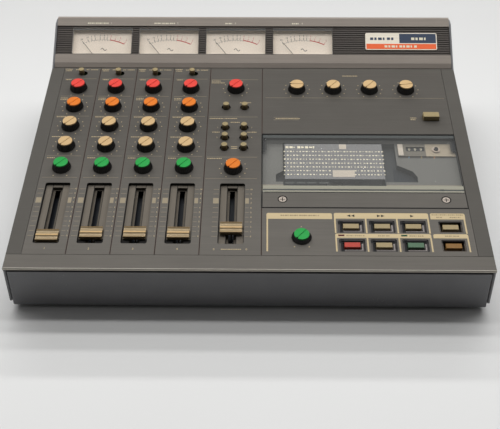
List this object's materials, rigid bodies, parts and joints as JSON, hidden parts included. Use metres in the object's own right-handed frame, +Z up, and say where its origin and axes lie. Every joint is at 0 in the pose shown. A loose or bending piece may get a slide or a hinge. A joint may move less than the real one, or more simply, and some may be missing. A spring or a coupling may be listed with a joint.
{
  "type": "four track cassette recorder",
  "caption": "Desk-top multitrack cassette recorder with a sloping mixer panel, slide faders, ribbed knobs, level meters on a raised bridge, a hinged cassette lid and piano-flat transport keys.",
  "frame": {"origin": "on the surface under the middle of the bounding box", "axes": "+X to the recorder's right, +Y to its back, +Z up"},
  "size_m": [0.46, 0.37, 0.1204],
  "materials": {
    "case_paint": "satin blue-black enamel",
    "panel_metal": "brushed, warm grey anodised look",
    "bridge_metal": "satin warm grey",
    "insert_paint": "matte grey and black moulded frames",
    "deck_plastic": "matte moulded",
    "meter_plastic": "clear front over a cream dial",
    "window_acrylic": "clear, lightly smoked",
    "knob_plastic": "black ribbed skirt with a coloured cap",
    "tan_plastic": "satin moulded",
    "red_plastic": "satin moulded",
    "green_plastic": "satin moulded",
    "brown_plastic": "satin moulded",
    "black_plastic": "satin moulded",
    "foot_rubber": "matte",
    "connector_plastic": "moulded bodies with plated sleeves",
    "circuit_parts": "boards, controls and transformer"
  },
  "bodies": {
    "chassis": {"base_pan": "case_paint", "feet": "foot_rubber", "side_cheeks": "panel_metal", "control_panel": "panel_metal", "panel_inserts": "insert_paint", "meter_housing": "bridge_metal", "vu_meters": "meter_plastic", "deck_moulding": "deck_plastic", "tape_deck": "deck_plastic", "electronics": "circuit_parts", "rear_jacks": "connector_plastic", "select_buttons": "tan_plastic"},
    "cassette_lid": {"lid_frame": "panel_metal", "lid_window": "window_acrylic"},
    "fader_a": {"fader_a": "tan_plastic"},
    "fader_b": {"fader_b": "tan_plastic"},
    "fader_c": {"fader_c": "tan_plastic"},
    "fader_d": {"fader_d": "tan_plastic"},
    "fader_master": {"fader_master": "tan_plastic"},
    "key_record": {"key_record": "red_plastic"},
    "key_play": {"key_play": "tan_plastic"},
    "key_rewind": {"key_rewind": "tan_plastic"},
    "key_fast_forward": {"key_fast_forward": "tan_plastic"},
    "key_stop": {"key_stop": "tan_plastic"},
    "key_pause": {"key_pause": "green_plastic"},
    "key_zero_return": {"key_zero_return": "tan_plastic"},
    "key_eject": {"key_eject": "brown_plastic"},
    "counter_reset": {"counter_reset": "black_plastic"},
    "nr_switch": {"nr_switch": "tan_plastic"},
    "input_switch_a": {"input_switch_a": "tan_plastic"},
    "input_switch_b": {"input_switch_b": "tan_plastic"},
    "input_switch_c": {"input_switch_c": "tan_plastic"},
    "input_switch_d": {"input_switch_d": "tan_plastic"},
    "knob_pitch": {"knob_pitch": "knob_plastic"},
    "knob_cue_1": {"knob_cue_1": "knob_plastic"},
    "knob_cue_2": {"knob_cue_2": "knob_plastic"},
    "knob_cue_3": {"knob_cue_3": "knob_plastic"},
    "knob_cue_4": {"knob_cue_4": "knob_plastic"},
    "knob_monitor": {"knob_monitor": "knob_plastic"},
    "knob_aux_return": {"knob_aux_return": "knob_plastic"},
    "knob_trim_a": {"knob_trim_a": "knob_plastic"},
    "knob_aux_a": {"knob_aux_a": "knob_plastic"},
    "knob_treble_a": {"knob_treble_a": "knob_plastic"},
    "knob_bass_a": {"knob_bass_a": "knob_plastic"},
    "knob_pan_a": {"knob_pan_a": "knob_plastic"},
    "knob_trim_b": {"knob_trim_b": "knob_plastic"},
    "knob_aux_b": {"knob_aux_b": "knob_plastic"},
    "knob_treble_b": {"knob_treble_b": "knob_plastic"},
    "knob_bass_b": {"knob_bass_b": "knob_plastic"},
    "knob_pan_b": {"knob_pan_b": "knob_plastic"},
    "knob_trim_c": {"knob_trim_c": "knob_plastic"},
    "knob_aux_c": {"knob_aux_c": "knob_plastic"},
    "knob_treble_c": {"knob_treble_c": "knob_plastic"},
    "knob_bass_c": {"knob_bass_c": "knob_plastic"},
    "knob_pan_c": {"knob_pan_c": "knob_plastic"},
    "knob_trim_d": {"knob_trim_d": "knob_plastic"},
    "knob_aux_d": {"knob_aux_d": "knob_plastic"},
    "knob_treble_d": {"knob_treble_d": "knob_plastic"},
    "knob_bass_d": {"knob_bass_d": "knob_plastic"},
    "knob_pan_d": {"knob_pan_d": "knob_plastic"}
  },
  "joints": [
    {"name": "lid_hinge", "type": "hinge", "parent": "chassis", "child": "cassette_lid", "pos_m": [0, 0.0029, 0.07204], "axis": [-1, 0, 0], "range_deg": [0, 72]},
    {"name": "fader_a_slide", "type": "slide", "parent": "chassis", "child": "fader_a", "axis": [0, 0.9945, 0.1045], "range_m": [0, 0.06]},
    {"name": "fader_b_slide", "type": "slide", "parent": "chassis", "child": "fader_b", "axis": [0, 0.9945, 0.1045], "range_m": [-0.0038, 0.0562]},
    {"name": "fader_c_slide", "type": "slide", "parent": "chassis", "child": "fader_c", "axis": [0, 0.9945, 0.1045], "range_m": [-0.0043, 0.0557]},
    {"name": "fader_d_slide", "type": "slide", "parent": "chassis", "child": "fader_d", "axis": [0, 0.9945, 0.1045], "range_m": [-0.0039, 0.0561]},
    {"name": "fader_master_slide", "type": "slide", "parent": "chassis", "child": "fader_master", "axis": [0, 0.9945, 0.1045], "range_m": [-0.0109, 0.0491]},
    {"name": "key_record_press", "type": "slide", "parent": "chassis", "child": "key_record", "axis": [0, 0.1045, -0.9945], "range_m": [0, 0.002], "stiffness_N_per_m": 200, "springref_m": -0.0015},
    {"name": "key_play_press", "type": "slide", "parent": "chassis", "child": "key_play", "axis": [0, 0.1045, -0.9945], "range_m": [0, 0.002], "stiffness_N_per_m": 200, "springref_m": -0.0015},
    {"name": "key_rewind_press", "type": "slide", "parent": "chassis", "child": "key_rewind", "axis": [0, 0.1045, -0.9945], "range_m": [0, 0.002], "stiffness_N_per_m": 200, "springref_m": -0.0015},
    {"name": "key_fast_forward_press", "type": "slide", "parent": "chassis", "child": "key_fast_forward", "axis": [0, 0.1045, -0.9945], "range_m": [0, 0.002], "stiffness_N_per_m": 200, "springref_m": -0.0015},
    {"name": "key_stop_press", "type": "slide", "parent": "chassis", "child": "key_stop", "axis": [0, 0.1045, -0.9945], "range_m": [0, 0.002], "stiffness_N_per_m": 200, "springref_m": -0.0015},
    {"name": "key_pause_press", "type": "slide", "parent": "chassis", "child": "key_pause", "axis": [0, 0.1045, -0.9945], "range_m": [0, 0.002], "stiffness_N_per_m": 200, "springref_m": -0.0015},
    {"name": "key_zero_return_press", "type": "slide", "parent": "chassis", "child": "key_zero_return", "axis": [0, 0.1045, -0.9945], "range_m": [0, 0.002], "stiffness_N_per_m": 200, "springref_m": -0.0015},
    {"name": "key_eject_press", "type": "slide", "parent": "chassis", "child": "key_eject", "axis": [0, 0.1045, -0.9945], "range_m": [0, 0.002], "stiffness_N_per_m": 200, "springref_m": -0.0015},
    {"name": "counter_reset_press", "type": "slide", "parent": "chassis", "child": "counter_reset", "axis": [0, 0.1045, -0.9945], "range_m": [0, 0.0016], "stiffness_N_per_m": 100, "springref_m": -0.001},
    {"name": "nr_switch_press", "type": "slide", "parent": "chassis", "child": "nr_switch", "axis": [0, 0.1045, -0.9945], "range_m": [0, 0.0025]},
    {"name": "input_switch_a_slide", "type": "slide", "parent": "chassis", "child": "input_switch_a", "axis": [1, 0, 0], "range_m": [0, 0.003]},
    {"name": "input_switch_b_slide", "type": "slide", "parent": "chassis", "child": "input_switch_b", "axis": [1, 0, 0], "range_m": [0, 0.003]},
    {"name": "input_switch_c_slide", "type": "slide", "parent": "chassis", "child": "input_switch_c", "axis": [1, 0, 0], "range_m": [0, 0.003]},
    {"name": "input_switch_d_slide", "type": "slide", "parent": "chassis", "child": "input_switch_d", "axis": [1, 0, 0], "range_m": [0, 0.003]},
    {"name": "knob_pitch_turn", "type": "hinge", "parent": "chassis", "child": "knob_pitch", "pos_m": [0.05, -0.14373, 0.05794], "axis": [0, -0.1045, 0.9945], "range_deg": [-280, 0]},
    {"name": "knob_cue_1_turn", "type": "hinge", "parent": "chassis", "child": "knob_cue_1", "pos_m": [0.05, 0.07964, 0.08142], "axis": [0, -0.1045, 0.9945], "range_deg": [-230, 50]},
    {"name": "knob_cue_2_turn", "type": "hinge", "parent": "chassis", "child": "knob_cue_2", "pos_m": [0.0905, 0.07964, 0.08142], "axis": [0, -0.1045, 0.9945], "range_deg": [-280, 0]},
    {"name": "knob_cue_3_turn", "type": "hinge", "parent": "chassis", "child": "knob_cue_3", "pos_m": [0.131, 0.07964, 0.08142], "axis": [0, -0.1045, 0.9945], "range_deg": [-280, 0]},
    {"name": "knob_cue_4_turn", "type": "hinge", "parent": "chassis", "child": "knob_cue_4", "pos_m": [0.1715, 0.07964, 0.08142], "axis": [0, -0.1045, 0.9945], "range_deg": [-240, 40]},
    {"name": "knob_monitor_turn", "type": "hinge", "parent": "chassis", "child": "knob_monitor", "pos_m": [-0.01795, 0.08034, 0.08149], "axis": [0, -0.1045, 0.9945], "range_deg": [-280, 0]},
    {"name": "knob_aux_return_turn", "type": "hinge", "parent": "chassis", "child": "knob_aux_return", "pos_m": [-0.01795, -0.04895, 0.0679], "axis": [0, -0.1045, 0.9945], "range_deg": [-280, 0]},
    {"name": "knob_trim_a_turn", "type": "hinge", "parent": "chassis", "child": "knob_trim_a", "pos_m": [-0.1947, 0.08034, 0.08149], "axis": [0, -0.1045, 0.9945], "range_deg": [-280, 0]},
    {"name": "knob_aux_a_turn", "type": "hinge", "parent": "chassis", "child": "knob_aux_a", "pos_m": [-0.1947, 0.04822, 0.07811], "axis": [0, -0.1045, 0.9945], "range_deg": [-280, 0]},
    {"name": "knob_treble_a_turn", "type": "hinge", "parent": "chassis", "child": "knob_treble_a", "pos_m": [-0.1947, 0.01609, 0.07474], "axis": [0, -0.1045, 0.9945], "range_deg": [-280, 0]},
    {"name": "knob_bass_a_turn", "type": "hinge", "parent": "chassis", "child": "knob_bass_a", "pos_m": [-0.1947, -0.01603, 0.07136], "axis": [0, -0.1045, 0.9945], "range_deg": [-280, 0]},
    {"name": "knob_pan_a_turn", "type": "hinge", "parent": "chassis", "child": "knob_pan_a", "pos_m": [-0.1947, -0.04815, 0.06798], "axis": [0, -0.1045, 0.9945], "range_deg": [-280, 0]},
    {"name": "knob_trim_b_turn", "type": "hinge", "parent": "chassis", "child": "knob_trim_b", "pos_m": [-0.15264, 0.08034, 0.08149], "axis": [0, -0.1045, 0.9945], "range_deg": [-280, 0]},
    {"name": "knob_aux_b_turn", "type": "hinge", "parent": "chassis", "child": "knob_aux_b", "pos_m": [-0.15264, 0.04822, 0.07811], "axis": [0, -0.1045, 0.9945], "range_deg": [-280, 0]},
    {"name": "knob_treble_b_turn", "type": "hinge", "parent": "chassis", "child": "knob_treble_b", "pos_m": [-0.15264, 0.01609, 0.07474], "axis": [0, -0.1045, 0.9945], "range_deg": [-280, 0]},
    {"name": "knob_bass_b_turn", "type": "hinge", "parent": "chassis", "child": "knob_bass_b", "pos_m": [-0.15264, -0.01603, 0.07136], "axis": [0, -0.1045, 0.9945], "range_deg": [-280, 0]},
    {"name": "knob_pan_b_turn", "type": "hinge", "parent": "chassis", "child": "knob_pan_b", "pos_m": [-0.15264, -0.04815, 0.06798], "axis": [0, -0.1045, 0.9945], "range_deg": [-280, 0]},
    {"name": "knob_trim_c_turn", "type": "hinge", "parent": "chassis", "child": "knob_trim_c", "pos_m": [-0.11058, 0.08034, 0.08149], "axis": [0, -0.1045, 0.9945], "range_deg": [-280, 0]},
    {"name": "knob_aux_c_turn", "type": "hinge", "parent": "chassis", "child": "knob_aux_c", "pos_m": [-0.11058, 0.04822, 0.07811], "axis": [0, -0.1045, 0.9945], "range_deg": [-280, 0]},
    {"name": "knob_treble_c_turn", "type": "hinge", "parent": "chassis", "child": "knob_treble_c", "pos_m": [-0.11058, 0.01609, 0.07474], "axis": [0, -0.1045, 0.9945], "range_deg": [-280, 0]},
    {"name": "knob_bass_c_turn", "type": "hinge", "parent": "chassis", "child": "knob_bass_c", "pos_m": [-0.11058, -0.01603, 0.07136], "axis": [0, -0.1045, 0.9945], "range_deg": [-280, 0]},
    {"name": "knob_pan_c_turn", "type": "hinge", "parent": "chassis", "child": "knob_pan_c", "pos_m": [-0.11058, -0.04815, 0.06798], "axis": [0, -0.1045, 0.9945], "range_deg": [-280, 0]},
    {"name": "knob_trim_d_turn", "type": "hinge", "parent": "chassis", "child": "knob_trim_d", "pos_m": [-0.06852, 0.08034, 0.08149], "axis": [0, -0.1045, 0.9945], "range_deg": [-280, 0]},
    {"name": "knob_aux_d_turn", "type": "hinge", "parent": "chassis", "child": "knob_aux_d", "pos_m": [-0.06852, 0.04822, 0.07811], "axis": [0, -0.1045, 0.9945], "range_deg": [-280, 0]},
    {"name": "knob_treble_d_turn", "type": "hinge", "parent": "chassis", "child": "knob_treble_d", "pos_m": [-0.06852, 0.01609, 0.07474], "axis": [0, -0.1045, 0.9945], "range_deg": [-280, 0]},
    {"name": "knob_bass_d_turn", "type": "hinge", "parent": "chassis", "child": "knob_bass_d", "pos_m": [-0.06852, -0.01603, 0.07136], "axis": [0, -0.1045, 0.9945], "range_deg": [-280, 0]},
    {"name": "knob_pan_d_turn", "type": "hinge", "parent": "chassis", "child": "knob_pan_d", "pos_m": [-0.06852, -0.04815, 0.06798], "axis": [0, -0.1045, 0.9945], "range_deg": [-280, 0]}
  ]
}
